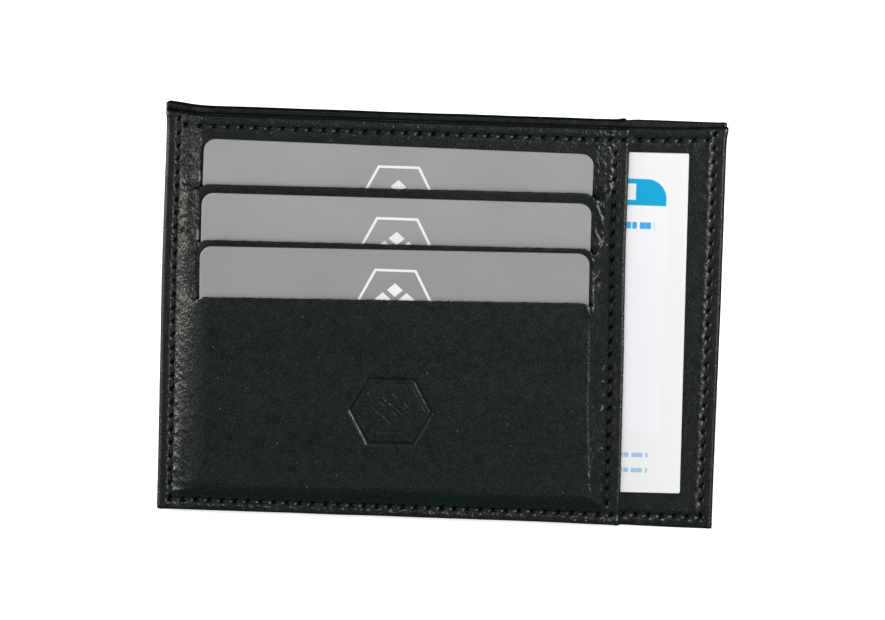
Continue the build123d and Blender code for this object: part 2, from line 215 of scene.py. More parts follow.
class Sheet:
    """A leather sheet over a rounded rectangle, turned round its edges, with optional slots.

    surface(x, z, side) gives the outer height: side is -1 just below a slot, +1 just above it, 0 elsewhere.
    floor(x, z) gives the height of the turned edge's underside along the outline.
    """

    ROLL = 0.75  # how far the bend at the edge reaches in
    RADIUS = 0.92  # rounding of the corners
    INNER_R = RADIUS - ROLL

    def __init__(self, name, x1, z1, fine_x, fine_z, surface, floor, hem, to_y, warp, slots=()):
        self.name, self.surface, self.floor, self.hem = name, surface, floor, hem
        self.x1, self.z1, self.to_y, self.warp = x1, z1, to_y, warp
        xs = self.lines(LEFT + self.ROLL, x1 - self.ROLL, fine_x, [])
        zs = self.lines(self.ROLL, z1 - self.ROLL, fine_z, slots)
        self.build(xs, zs, list(slots))

    @staticmethod
    def lines(a, b, stretches, stops):
        """Grid lines from a to b through the stops. stretches holds (where it ends, step) pairs."""
        marks = sorted([a] + list(stops) + [end for end, _ in stretches[:-1]] + [b])
        out = []
        for p, q in zip(marks, marks[1:]):
            step = next(step for end, step in stretches if (p + q) / 2 < end)
            n = max(1, round((q - p) / step))
            part = list(np.linspace(p, q, n + 1))
            if p in stops:
                part[1:1] = [p + 0.06, p + 0.14]
            if q in stops:
                part[-1:-1] = [q - 0.14, q - 0.06]
            out += part if not out else part[1:]
        return np.array(out)

    def corner_centre(self, x, z):
        """The nearest point at which a corner's rounding may be centred."""
        near = self.RADIUS
        return np.clip(x, LEFT + near, self.x1 - near), np.clip(z, near, self.z1 - near)

    def rounded(self, x, z):
        """Moves grid points near a corner onto the rounded outline."""
        r = self.INNER_R
        cx, cz = self.corner_centre(x, z)
        u, v = (x - cx) / r, (z - cz) / r
        return cx + r * u * np.sqrt(1 - v * v / 2), cz + r * v * np.sqrt(1 - u * u / 2)

    def build(self, xs, zs, slots):
        nz, nx = len(zs), len(xs)
        gx, gz = np.meshgrid(xs, zs)
        low = np.arange(nz * nx).reshape(nz, nx)
        up = low.copy()
        px, pz = self.rounded(gx, gz)
        side = np.zeros(nz * nx)
        cols = np.nonzero(np.abs(xs - PANEL_MID) < SLOT_END)[0]
        for k, slot in enumerate(slots):  # the upper lip of a slot gets points of its own
            row = int(np.argmin(np.abs(zs - slot)))
            side[low[row, cols]] = -1
            up[row, cols] = nz * nx + k * len(cols) + np.arange(len(cols))
        x = np.concatenate([px.ravel(), np.tile(xs[cols], len(slots))])
        z = np.concatenate([pz.ravel(), np.repeat(slots, len(cols))])
        side = np.concatenate([side, np.ones(len(slots) * len(cols))])
        faces = np.stack(
            [up[:-1, :-1].ravel(), up[:-1, 1:].ravel(), low[1:, 1:].ravel(), low[1:, :-1].ravel()], 1
        )
        s, pit, raised, dz = self.surface(x, z, side)
        loop = np.concatenate([low[0, :-1], low[:-1, -1], low[-1, :0:-1], low[:0:-1, 0]])
        lx, lz = x[loop], z[loop]
        cx, cz = self.corner_centre(lx, lz)
        nx_, nz_ = lx - cx, lz - cz
        length = np.maximum(np.hypot(nx_, nz_), 1e-9)
        nx_, nz_ = nx_ / length, nz_ / length
        along = np.maximum(
            np.where(np.abs(nz_) > 0.999, np.minimum(lx - LEFT, self.x1 - lx), 0),
            np.where(np.abs(nx_) > 0.999, np.minimum(lz, self.z1 - lz), 0),
        )
        hem = np.minimum(self.hem, np.maximum(0.75 * self.RADIUS, along - 0.3))
        top, bottom = s[loop], self.floor(lx, lz)
        thick = top - bottom
        roll = np.minimum(0.95, 0.55 * thick)
        under = np.minimum(0.5, 0.4 * thick)
        rings = []
        for i in range(1, 9):
            a = math.pi / 2 * i / 8
            rings.append((self.ROLL * (1 - math.sin(a)), top - roll * (1 - math.cos(a))))
        rings.append((0 * hem, bottom + (under + (thick - roll)) / 2))
        for i in range(0, 5):
            a = math.pi / 2 * i / 4
            rings.append((under * (1 - math.cos(a)), bottom + under * (1 - math.sin(a))))
        for f in (0.35, 0.7, 1.0):
            rings.append((under + (hem - under) * f, bottom + 0 * hem))
        count, previous, around = len(x), loop, len(loop)
        parts = [(x, z + dz, s, pit, raised)]
        wobble = 0.03 * NOISE(lx + 31, lz, 9.0) + 0.015 * NOISE(lx + 7, lz + 3, 2.5)
        for k, (inset, height) in enumerate(rings):
            out = self.ROLL - inset
            ring = count + np.arange(around)
            count += around
            out = out + np.clip(out / self.ROLL, 0, 1) * wobble
            # the bend's middle rings get the most crumpled grain and the palest peaks, partly wear and partly
            # painted highlight
            wear_and_highlight = np.full(around, max(0.0, 0.5 - abs(k - 4) * 0.1))
            parts.append((lx + nx_ * out, lz + nz_ * out, height * np.ones(around), np.zeros(around), wear_and_highlight))
            nxt_prev, nxt_ring = np.roll(previous, -1), np.roll(ring, -1)
            faces = np.concatenate([faces, np.stack([previous, ring, nxt_ring, nxt_prev], 1)])
            previous = ring
        self.make_mesh(faces, *(np.concatenate(column) for column in zip(*parts)))

    def make_mesh(self, faces, x, z, s, pit, raised):
        x, z = self.warp(*pointed(x, z, self.x1, self.z1))
        y = self.to_y(s)
        if self.to_y(1.0) > self.to_y(0.0):
            faces = faces[:, ::-1]
        self.object = mesh_object(self.name, np.stack([x, y, z], 1), faces.tolist())
        for label, values in (("pit", pit), ("raised", raised)):
            attribute = self.object.data.attributes.new(label, "FLOAT", "POINT")
            attribute.data.foreach_set("value", values.astype(np.float32))
        solidify = self.object.modifiers.new("thickness", "SOLIDIFY")
        solidify.thickness = SHEET * MM
        solidify.offset = -1
        apply_modifiers(self.object)
        self.object.data.set_sharp_from_angle(angle=math.radians(50))


HANG = 0.5  # how far the lower right corner hangs, which is where the floor is
FRONT_SAG = 0.5


def outline(x, z):
    """Shared waver of both units: the left edge bows out, the lower right corner hangs a little."""
    left, right = smooth((-50 - x) / 10), smooth((x - 54) / 6)
    hang = smooth((x - 15) / 45) * smooth((9 - z) / 9)
    bow = bell(z - 52, 26)
    x = x - left * (0.42 + 0.28 * bow) + right * (0.12 + 0.13 * bow)
    return x, z - HANG * hang


def flare(x, z, corner_x, corner_z, out_x, out_z):
    """Draws a corner out to a point."""
    dx, dz = (x - corner_x) / 2.2, (z - corner_z) / 2.2
    return x + out_x * bell(dx) * bell(dz), z + out_z * bell(dx, 2.1) * bell(dz, 1.3)


def pointed(x, z, x1, z1):
    """Brings the rounded corners of a turned edge to a point."""
    for cx, cz, sx, sz in ((LEFT, 0, -1, -1), (x1, 0, 1, -1), (LEFT, z1, -1, 1), (x1, z1, 1, 1)):
        near = bell(x - cx, 0.8) * bell(z - cz, 0.8)
        x, z = x + 0.3 * sx * near, z + 0.3 * sz * near
    return x, z


def inset_left(x):
    """A panel sits a little inside its base wall's left edge."""
    return 0.22 * smooth((-52 - x) / 8)


def front_top(x, z):
    """The front unit's top edge sags a little between its corners."""
    return z - FRONT_SAG * smooth((z - 78) / 9) * smooth((60 - x) / 14)


def front_base_warp(x, z):
    x, z = outline(x, front_top(x, z))
    x, z = flare(x, z, LEFT, HEIGHT, -0.3, 0.65)
    return flare(x, z, RIGHT, HEIGHT, 0.35, 0.1)


def front_panel_warp(x, z):
    lean = 0.38 - 0.75 * z / HEIGHT - 0.34 * bell(z - 62, 22)
    free = smooth((x - 20) / 20)
    lift = 0.12 * smooth((3 - z) / 3)
    bowed, z = outline(x, front_top(x, z))
    return flare(bowed + free * lean + inset_left(x), z + lift, LEFT, HEIGHT, -0.25, 0.7)


def rear_top(x, z):
    """The rear unit's top edge dips a little behind its panel."""
    return z + smooth((z - 78) / 8) * (0.12 - 0.34 * smooth((42 - x) / 5))


def rear_base_warp(x, z):
    bowed, low = outline(x, z)
    return flare(bowed, low - z + rear_top(x, z), LEFT, REAR_HEIGHT, -0.35, 0.85)


def rear_panel_warp(x, z):
    lean = -0.2 - 1.1 * z / HEIGHT
    bowed, low = outline(x, z)
    x, z = bowed + smooth((x - 20) / 20) * lean + inset_left(x), low - z + rear_top(x, z)
    return flare(x, z, LEFT, REAR_HEIGHT, -0.2, 0.8)


def front_y(s):
    return FRONT_Y - s


def rear_y(s):
    return REAR_Y + s


def mesh_object(name, points_mm, faces):
    """New smooth-shaded mesh object from points in millimetres and lists of corners."""
    mesh = bpy.data.meshes.new(name)
    mesh.from_pydata((np.asarray(points_mm) * MM).tolist(), [], faces)
    mesh.validate()
    mesh.shade_smooth()
    obj = bpy.data.objects.new(name, mesh)
    bpy.context.scene.collection.objects.link(obj)
    return obj


def attach(obj, material, moves_with, replaced):
    """Gives a piece its material and ties it to the frame: what it moves with and what it replaces."""
    obj.data.materials.clear()
    obj.data.materials.append(material)
    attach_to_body(obj, moves_with)
    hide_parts(replaced)


def apply_modifiers(obj):
    bpy.context.view_layer.update()
    evaluated = obj.evaluated_get(bpy.context.evaluated_depsgraph_get())
    mesh, old = bpy.data.meshes.new_from_object(evaluated), obj.data
    obj.modifiers.clear()
    obj.data = mesh
    bpy.data.meshes.remove(old)


# ---------------------------------------------------------------- surfaces


def leather_over(i, z):
    """Outer height of the leather that covers card i."""
    low, z0, slope = PLANES[i]
    behind = TEXTILE if i < 2 else 0.0
    return low + slope * (z - z0) + CARD_T + CLEAR + behind + LEATHER


def slot_edges(u, delta, side):
    """The sheet just below a slot, just above it, and how far each edge is rounded off."""
    near = (u < SLOT_END) & (np.abs(delta) < 0.5)
    rounding = np.clip(1 - np.abs(delta) / 0.2, 0, 1) ** 2
    return near & ((delta < 0) | (side < 0)), near & ((delta > 0) | (side > 0)), rounding


def slot_step(u, delta, side):
    """1 below a slot and 0 above it: a clean step where the card passes, a soft one in the margins."""
    closed = smooth((u - CARD_HALF - 0.1) / (SLOT_END - CARD_HALF - 0.1))
    below = (delta < 0) | (side < 0)
    reach = 2.2 + 1.2 * smooth((u - 44) / 3)
    fade = 0.5 * closed * (1 - np.clip(np.abs(delta) / reach, 0, 1)) ** 2
    return np.where(below, 1 - fade, fade)


def hexagon_slant(half_w, half_h):
    """Unit normal of a hexagon's slanting sides."""
    nx, nz = half_h, half_w * 0.44
    norm = math.hypot(nx, nz)
    return nx / norm, nz / norm


def hexagon(x, z, half_w, half_h):
    """Distance to a plain hexagon frame: negative inside."""
    nx, nz = hexagon_slant(half_w, half_h)
    return np.maximum(np.abs(z) - half_h, nx * np.abs(x) + nz * np.abs(z) - nx * half_w)


LOZENGES = ((0, 1), (0, -1), (1, 0), (-1, 0))  # four small lozenges, placed as one larger one


def lozenges(x, z, size):
    """Distance to the nearest lozenge."""
    each = [np.abs(x - a * size * 1.25) / 1.15 + np.abs(z - b * size) - size * 0.72 for a, b in LOZENGES]
    return np.minimum.reduce(each)


EMBOSS_Z = 24.5


def embossing(x, z):
    """Depth of the embossed mark, a generic hexagon with lozenges and a bar."""
    ex, ez = x - PANEL_MID, z - EMBOSS_Z
    d = hexagon(ex, ez, 9.55, 7.75)
    ring = bell(d + 0.55, 0.5) + 0.35 * bell(d + 1.6, 0.25)
    inner = lozenges(ex, ez - 0.9, 2.0)
    figure = smooth((0.16 - np.abs(inner)) / 0.26 + 0.5)
    bar = smooth((0.42 - np.abs(ez + 4.7)) / 0.3) * smooth((3.2 - np.abs(ex)) / 0.3)
    dish = 0.08 * smooth(-d / 1.0)
    mark = np.maximum(ring, 0.5 * np.minimum(figure + bar, 1.0))
    return -(0.17 * mark + dish), mark


def ridges(folds, x, z):
    """Summed height of narrow ridges: (x, z, half-length, half-width, angle from +X in degrees, height)."""
    total = np.zeros_like(x)
    for cx, cz, long, wide, angle, rise in folds:
        near = (np.abs(x - cx) < 3 * long) & (np.abs(z - cz) < 3 * long)
        c, s = math.cos(math.radians(angle)), math.sin(math.radians(angle))
        dx, dz = x[near] - cx, z[near] - cz
        t, n = dx * c + dz * s, dz * c - dx * s
        total[near] += rise * bell(t, long) * bell(n, wide)
    return total


def margin_folds():
    """Ridges fanning out from the slots' ends, strongest on the right."""
    draw = np.random.RandomState(21)
    folds = []
    right = PANEL_MID + CARD_HALF
    for slot, near, drop in zip(SLOTS, (2.6, 2.0, 1.3), (2.1, 1.5, 0.9)):
        folds.append((right + near, slot - drop + 0.6, 1.9, 0.6, -76, 0.34))
        folds.append((right + near - 1.3, slot - drop - 1.0, 1.4, 0.5, -66, 0.24))
        folds.append((right + 0.9, slot - 0.7, 0.8, 0.4, -60, 0.18))
    for k in range(44):
        z = 8.0 + (SLOTS[0] - 8.0) * (k + draw.uniform(-0.3, 0.3)) / 44
        strong = 0.45 + 0.55 * smooth((z - 34) / 12)
        folds.append((
            right + draw.uniform(0.8, 3.6), z, draw.uniform(0.9, 1.6), draw.uniform(0.30, 0.46),
            draw.uniform(-68, -48), strong * draw.uniform(0.16, 0.30),
        ))
    for k in range(70):
        z = 7.0 + (HEIGHT - 13.0) * (k + draw.uniform(-0.3, 0.3)) / 70
        folds.append((
            PANEL_MID - CARD_HALF - draw.uniform(0.6, 4.2), z, draw.uniform(0.6, 1.3),
            draw.uniform(0.22, 0.34), draw.uniform(-75, -30), draw.uniform(0.06, 0.14),
        ))
    return folds


SLOT_LEAN = [(0.0100, 0.33), (0.0108, 0.14), (0.0179, -0.14)]  # each slot's slope and rise at mid-panel


DROP_END = 47.8  # where the sheet has come down to the seam, from mid-panel


def pillow_drop(u, rise):
    """How far the sheet has come down at the left margin, ever steeper towards the seam."""
    spread = 2.0 + 1.2 * smooth((rise - 1.3) / 0.7)
    start = np.clip(DROP_END - spread * rise, 39.3, DROP_END - 2.0)
    return rise * np.clip((u - start) / (DROP_END - start), 0, 1) ** 2


def straight_drop(u, rise):
    """The same at the right margin: a short bend, then one even slope."""
    start = np.clip(DROP_END - rise / 0.72, 43.0, DROP_END - 0.5)
    t = (u - start) / (DROP_END - start)
    return rise * np.clip((t + np.sqrt(t * t + 0.0025)) / 2, 0, 1)


def crinkle(x, z):
    """Small rounded swellings parted by sharp creases, between -1 and 1."""
    broad = np.abs(NOISE.flow(x, z, 1.0, -58, 1.6)) ** 0.7
    fine = np.abs(NOISE.flow(x + 9, z, 0.6, 40, 1.4)) ** 0.7
    return 2 * (0.65 * broad + 0.35 * fine) - 1


def front_panel_surface(x, z, side):
    u = np.abs(x - PANEL_MID)
    bottom = smooth((z - 2.9) / 3.9)
    height = previous = np.full_like(x, PANEL_T)
    drop, lips = np.zeros_like(x), np.zeros_like(x)
    for i, slot in enumerate(SLOTS):
        delta = z - slot
        level = leather_over(i, z)
        height = height + (level - previous) * slot_step(u, delta, side * (np.abs(delta) < 0.5))
        previous = level
        below, above, rounding = slot_edges(u, delta, side)
        drop += np.where(below, 0.14 * rounding, 0) + np.where(above, 0.1 * rounding, 0)
        lips = np.maximum(lips, np.where(below, smooth(1 - np.abs(delta + 0.25) / 0.35), 0))
    rise = (height - PANEL_T) * bottom
    height = PANEL_T + rise - np.where(x < PANEL_MID, pillow_drop(u, rise), straight_drop(u, rise))
    # soft wrinkles where the sheet is drawn over the cards' edges
    margin = smooth((u - 42.9) / 0.8) * (1 - smooth((u - 47.0) / 1.0))
    for slot in SLOTS:
        height -= 0.14 * bell(u - 46.6, 0.9) * bell(z - slot - 0.6, 1.6)
    height += ridges(margin_folds(), x, z)
    puff = bell(u - 45.6, 1.6) * smooth((z - 4) / 5) * smooth((HEIGHT - 3 - z) / 4)
    above = smooth((z - SLOTS[2] + 3) / 12)
    height += np.where(x < PANEL_MID, 0.05 + 0.5 * above, 0.0) * puff
    corner = bell(u - 46.1, 1.1) * bell(z - 16, 7)
    height += np.where(x < PANEL_MID, 0.22, 0.0) * corner
    height += (0.04 + 0.08 * above) * margin * crinkle(x, z)
    body = smooth((z - 2) / 4)
    height += 0.016 * NOISE.flow(x, z, 0.9, 64, 1.8) * body
    height += 0.03 * NOISE(x, z, 9.0) * smooth((46 - u) / 6) * (z < SLOTS[2] - 1)
    fold_line = bell(x - EDGE_RUN.fixed + 0.3, 0.3) * smooth((z - HEIGHT + 3.2) / 0.6)
    height -= 0.16 * fold_line
    relief, pit = sewn([LEFT_RUN, BOTTOM_RUN, TOP_RUN, EDGE_RUN], x, z)
    stamped, mark = embossing(x, z)
    height = np.maximum(height + relief - drop + stamped, PANEL_T - DEEPEST)
    # the embossed mark is darkened through the pit mask: partly the pressed leather's own darker colour, partly
    # painted shade
    pit = np.maximum(pit, 0.5 * mark)
    # painted shadow at each slot's end, darkened through the pit mask
    for slot in SLOTS:
        pit = np.maximum(pit, 0.6 * bell(u - 43.2, 0.5) * bell(z - slot + 0.4, 0.7))
    # the rims outside the bottom and top seams pucker between stitches
    rim = bell(z - 1.25, 0.5) + 0.4 * bell(HEIGHT - z - 1.2, 0.55)
    height += rim * (0.12 * NOISE.flow(x, z, 0.8, -40, 1.7) + 0.05 * NOISE(x, z, 0.5))
    # how crumpled the grain is, and how pale its peaks are painted, partly as wear and partly as painted
    # highlight: most in the margins, along the slots and on the rims
    low = smooth((SLOTS[2] - 2 - z) / 3)
    wide_margin = smooth((u - 43.2 + 3.2 * low) / (0.6 + 5.4 * low)) * smooth((49.0 - u) / 0.8)
    crushed = np.where(x < PANEL_MID, 0.22 + 0.18 * smooth((z - 32) / 16), 0.14)
    above_cards = smooth((z - SLOTS[0] - 6) / 3)
    raised = 0.15 + crushed * wide_margin + 0.1 * above_cards + 0.2 * lips + 0.25 * rim
    raised = np.clip(raised, 0, 1)
    dz_lip = np.zeros_like(x)
    for slot in SLOTS:
        edge = (u < SLOT_END) & (np.abs(z - slot) < 0.2)
        level = np.full_like(x, slot)
        dz_lip += np.where(edge, 0.05 * NOISE(x, level, 1.3) + 0.05 * NOISE(x, level, 0.45), 0)
        lift = bell(z - slot) * smooth((u - 41.5) / 1.3) * smooth((46.0 - u) / 2.5)
        dz_lip += np.where((side < 0) | (z < slot), -0.55, -0.35) * lift
    for slot, (slope, rise) in zip(SLOTS, SLOT_LEAN):
        lean = (rise + slope * (x - PANEL_MID)) * bell(z - slot, 2.6)
        dz_lip += lean * smooth((50 - u) / 7)
    return height, pit, raised, dz_lip


def panel_floor(x, z, height):
    """Underside of a panel's turned edge: on the base wall where sewn, lifted at the free right edge."""
    ends = smooth((z - 4.5) / 6.0) * smooth((height - 4.5 - z) / 6.0)
    return POCKET * ends * smooth((x - (PANEL_RIGHT - 4.5)) / 3.0)


def rear_panel_surface(x, z, side):
    u = np.abs(x - PANEL_MID)
    height = np.full_like(x, PANEL_T)
    for slot in SLOTS:
        delta = z - slot
        below, above, rounding = slot_edges(u, delta, side)
        height -= np.where(below | above, 0.12 * rounding, 0)
        within = smooth((SLOT_END - u) / 3)
        height += (0.16 * bell(delta + 0.9) * ~above - 0.07 * bell(delta - 0.8)) * within
    height += 0.018 * NOISE.flow(x, z, 0.9, 64, 2.6)
    height += 0.05 * NOISE(x + 50, z, 8.0) * smooth((46 - u) / 6)
    relief, pit = sewn([LEFT_RUN, BOTTOM_RUN, REAR_TOP_RUN, EDGE_RUN], x, z, 0.6)
    rim = bell(z - 1.25, 0.5) + bell(REAR_HEIGHT - z - 1.2, 0.55)
    height = np.maximum(height + relief, PANEL_T - DEEPEST) + rim * 0.05 * NOISE(x + 5, z, 1.1)
    raised = np.clip(0.2 + 0.35 * rim, 0, 1)
    dz_lip = np.zeros_like(x)
    for slot in SLOTS:
        edge = (u < SLOT_END) & (np.abs(z - slot) < 0.2)
        gape = 0.16 * side * smooth((SLOT_END - u) / 2)
        dz_lip += np.where(edge, 0.04 * NOISE(x, np.full_like(x, slot), 1.3) + gape, 0)
    return height, pit, raised, dz_lip


def base_surface(top_run, seed):
    def surface(x, z, side):
        relief, pit = sewn([RIGHT_RUN, BOTTOM_RUN, top_run], x, z, seed)
        bare = smooth((x - PANEL_RIGHT + 0.3) / 0.8)
        height = relief * bare
        near_seam = bell(x - SIDE_X + 1.2, 0.75)
        height += bare * near_seam * 0.05 * NOISE.flow(x, z, 0.75, -20, 1.7)
        height += bare * (0.012 * NOISE.flow(x, z, 0.9, 64, 2.6) + 0.035 * NOISE(x, z, 7.0))
        raised = np.clip(0.08 + 0.12 * near_seam * bare, 0, 1)
        return np.maximum(height, -DEEPEST), pit * bare, raised, np.zeros_like(x)

    return surface


# ---------------------------------------------------------------- thread


def stitch_path(length, depth_a, depth_b, arch=0.16, inset=0.46, steps=15):
    """Closed path (along, height) of one stitch: over the face, down a hole, back under and up again."""
    t = np.linspace(0, 1, steps)
    along = inset + (length - 2 * inset) * t
    over, under = arch * np.sin(math.pi * t) ** 0.8, -np.linspace(depth_b, depth_a, steps)
    return np.concatenate([along, along[::-1]]), np.concatenate([over, under])


def thread_tubes(paths, radius=0.105, lay=0.085, turns_per_mm=0.55, sides=7):
    """Two-ply thread along closed paths. Each path is points (n, 3) and its binormal."""
    verts, faces, count = [], [], 0
    ring_angles = np.arange(sides) * 2 * math.pi / sides
    for points, binormal in paths:
        n = len(points)
        tangent = np.roll(points, -1, 0) - np.roll(points, 1, 0)
        lengths = np.linalg.norm(np.roll(points, -1, 0) - points, axis=1)
        tangent /= np.maximum(np.linalg.norm(tangent, axis=1, keepdims=True), 1e-9)
        normal = np.cross(np.broadcast_to(binormal, tangent.shape), tangent)
        total = lengths.sum()
        turns = max(1, round(total * turns_per_mm))
        phase = 2 * math.pi * turns * np.concatenate([[0], np.cumsum(lengths)[:-1]]) / total
        for ply in (0, math.pi):
            centre = points + lay * (
                np.cos(phase + ply)[:, None] * normal + np.sin(phase + ply)[:, None] * binormal
            )
            ring = centre[:, None, :] + radius * (
                np.cos(ring_angles)[None, :, None] * normal[:, None, :]
                + np.sin(ring_angles)[None, :, None] * np.asarray(binormal)[None, None, :]
            )
            verts.append(ring.reshape(-1, 3))
            i, j = np.arange(n)[:, None] * sides, np.arange(sides)[None, :]
            ahead, beside = np.roll(i, -1, 0), np.roll(j, -1, 1)
            corners = [i + j, i + beside, ahead + beside, ahead + j]
            faces.append(count + np.stack(corners, -1).reshape(-1, 4))
            count += n * sides
    return np.concatenate(verts), np.concatenate(faces)


def make_seam(name, runs, outer, inner, to_y, warps):
    """All stitches of a seam. outer and inner give s at (x, z) for the two sides of the work."""
    paths = []
    for run in runs:
        for k, (a, b) in enumerate(zip(run.places, run.places[1:])):
            pa, pb = run.point(a), run.point(b)
            oa, ob = outer(*pa), outer(*pb)
            ia, ib = inner(*pa), inner(*pb)
            along, height = stitch_path(b - a, oa - ia, ob - ib)
            t = along / (b - a)
            s = oa + (ob - oa) * t + height
            skew = 0.08 * math.sin(k * 5.3 + run.fixed) + 0.07 * (t - 0.5) * 2
            if run.axis == "x":
                x, z = a + along, run.fixed + skew * np.ones_like(t)
                binormal = np.array([0.0, 0.0, 1.0])
            else:
                x, z = run.fixed + skew * np.ones_like(t), a + along
                binormal = np.array([1.0, 0.0, 0.0])
            x, z = warps[0 if (pa[0] + pb[0]) / 2 < PANEL_RIGHT else 1](x, z)
            paths.append((np.stack([x, to_y(s), z], 1), binormal))
    verts, faces = thread_tubes(paths)
    obj = mesh_object(name + "_thread", verts, faces.tolist())
    attach(obj, MATERIALS["thread"], HOLDER, name + "_seam")


# ---------------------------------------------------------------- materials


class Graph:
    """Short-hand for building a node tree."""

    def __init__(self, name):
        self.material = bpy.data.materials.new(name)
        self.material.use_nodes = True
        self.tree = self.material.node_tree
        self.bsdf = next(n for n in self.tree.nodes if n.type == "BSDF_PRINCIPLED")

    def node(self, kind, **settings):
        n = self.tree.nodes.new(kind)
        for key, value in settings.items():
            if hasattr(n, key):
                setattr(n, key, value)
            else:
                self.set(n.inputs[key.replace("_", " ")], value)
        return n

    def set(self, socket, value):
        if isinstance(value, Value):
            value = value.socket
        if isinstance(value, bpy.types.NodeSocket):
            self.tree.links.new(value, socket)
        else:
            socket.default_value = value

    def out(self, **values):
        for key, value in values.items():
            self.set(self.bsdf.inputs[key.replace("_", " ")], value)

    def split(self, vector):
        """The three parts of a vector."""
        n = self.node("ShaderNodeSeparateXYZ")
        self.set(n.inputs[0], vector)
        return [Value(self, part) for part in n.outputs]

    def coords(self):
        """Object coordinates in millimetres, as a vector and as three values."""
        scaled = self.node("ShaderNodeVectorMath", operation="SCALE")
        self.set(scaled.inputs[0], self.node("ShaderNodeTexCoord").outputs["Object"])
        scaled.inputs["Scale"].default_value = 1000.0
        return scaled.outputs[0], self.split(scaled.outputs[0])

    def facing(self):
        """The surface normal's three parts."""
        return self.split(self.node("ShaderNodeNewGeometry").outputs["Normal"])

    def mapped(self, vector, rotation=(0, 0, 0), scale=(1, 1, 1), location=(0, 0, 0)):
        angles = [math.radians(a) for a in rotation]
        n = self.node("ShaderNodeMapping", Vector=vector, Rotation=angles, Scale=scale, Location=location)
        return n.outputs[0]

    def noise(self, vector, scale, detail=3.0, roughness=0.5, distortion=0.0):
        n = self.node(
            "ShaderNodeTexNoise", Vector=vector, Scale=scale, Detail=detail, Roughness=roughness,
            Distortion=distortion,
        )
        return Value(self, n.outputs[0])

    def voronoi(self, vector, scale, feature="F1", **settings):
        n = self.node("ShaderNodeTexVoronoi", feature=feature, Vector=vector, Scale=scale, **settings)
        return Value(self, n.outputs["Distance"])

    def attribute(self, name):
        return Value(self, self.node("ShaderNodeAttribute", attribute_name=name).outputs["Fac"])

    def mix(self, factor, a, b):
        n = self.node("ShaderNodeMix", data_type="RGBA")
        self.set(n.inputs[0], factor)
        self.set(n.inputs[6], a)
        self.set(n.inputs[7], b)
        return n.outputs[2]

    def bump(self, height, distance_mm, strength=1.0):
        n = self.node("ShaderNodeBump", Height=height, Distance=distance_mm * MM, Strength=strength)
        return n.outputs[0]


class Value:
    """A number in a node tree, with arithmetic."""

    def __init__(self, graph, socket):
        self.graph, self.socket = graph, socket

    def op(self, operation, *others):
        n = self.graph.node("ShaderNodeMath", operation=operation)
        self.graph.set(n.inputs[0], self)
        for i, other in enumerate(others):
            self.graph.set(n.inputs[i + 1], other)
        return Value(self.graph, n.outputs[0])

    def __add__(self, other):
        return self.op("ADD", other)

    def __sub__(self, other):
        return self.op("SUBTRACT", other)

    def __mul__(self, other):
        return self.op("MULTIPLY", other)

    def abs(self):
        return self.op("ABSOLUTE")

    def max(self, other):
        return self.op("MAXIMUM", other)

    def min(self, other):
        return self.op("MINIMUM", other)

    def ramp(self, a, b, c=0.0, d=1.0):
        """Smooth step from c at a to d at b."""
        n = self.graph.node("ShaderNodeMapRange", interpolation_type="SMOOTHSTEP")
        self.graph.set(n.inputs[0], self)
        for i, value in enumerate((a, b, c, d)):
            n.inputs[i + 1].default_value = value
        return Value(self.graph, n.outputs[0])


